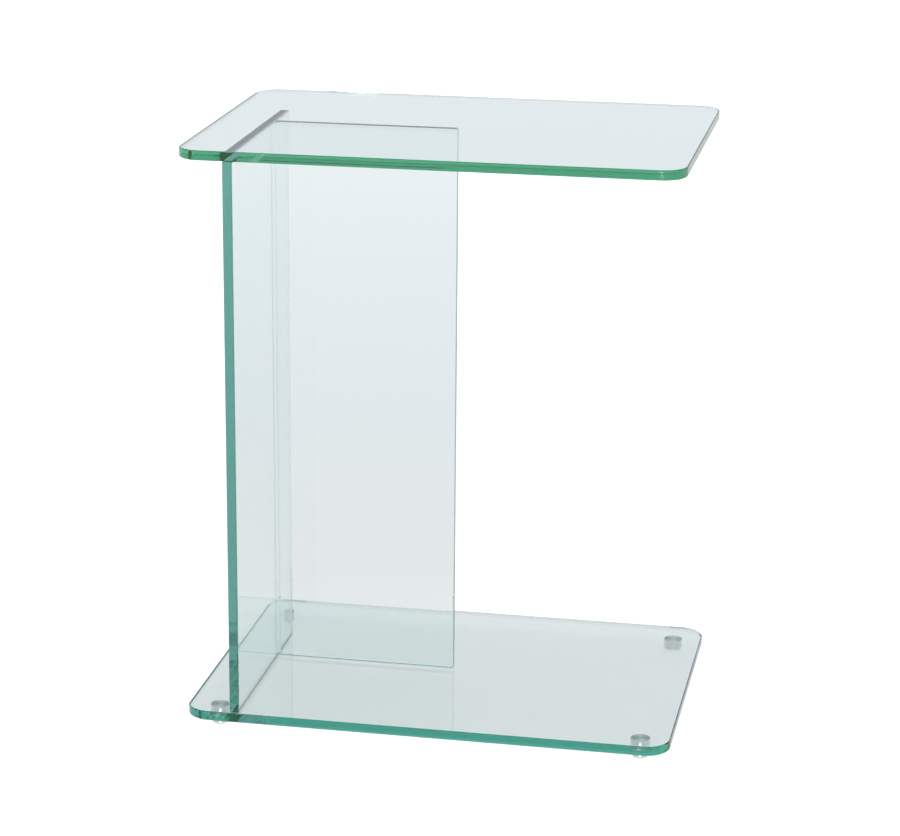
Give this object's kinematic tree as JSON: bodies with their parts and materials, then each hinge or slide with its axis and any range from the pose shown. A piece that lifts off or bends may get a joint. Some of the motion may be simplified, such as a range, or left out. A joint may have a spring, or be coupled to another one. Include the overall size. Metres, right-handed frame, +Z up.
{
  "type": "laptop table",
  "caption": "C-shaped all-glass laptop side table: rounded top and base plates joined by an upright end panel and web panel, standing on small metal feet.",
  "frame": {"origin": "on the floor, below the middle of the plates", "axes": "+X along the plates towards their free end, +Y to the back, +Z up"},
  "size_m": [0.5, 0.35, 0.6086],
  "materials": {
    "clear_float_glass": "clear float glass, flat polished edges with a green tint",
    "uv_adhesive": "cured clear acrylic adhesive film",
    "turned_steel": "turned stainless steel, fine concentric tool marks",
    "clear_vinyl": "clear soft vinyl, moulded"
  },
  "bodies": {
    "root": {"base_plate": "clear_float_glass", "top_plate": "clear_float_glass", "end_panel": "clear_float_glass", "web_panel": "clear_float_glass", "end_panel_base_bond": "uv_adhesive", "end_panel_top_bond": "uv_adhesive", "web_panel_base_bond": "uv_adhesive", "web_panel_top_bond": "uv_adhesive", "web_to_end_panel_bond": "uv_adhesive", "foot_bond_front_left": "uv_adhesive", "foot_bond_front_right": "uv_adhesive", "foot_bond_back_left": "uv_adhesive", "foot_bond_back_right": "uv_adhesive", "foot_disc_front_left": "turned_steel", "foot_disc_front_right": "turned_steel", "foot_disc_back_left": "turned_steel", "foot_disc_back_right": "turned_steel", "foot_pad_front_left": "clear_vinyl", "foot_pad_front_right": "clear_vinyl", "foot_pad_back_left": "clear_vinyl", "foot_pad_back_right": "clear_vinyl"}
  },
  "joints": []
}
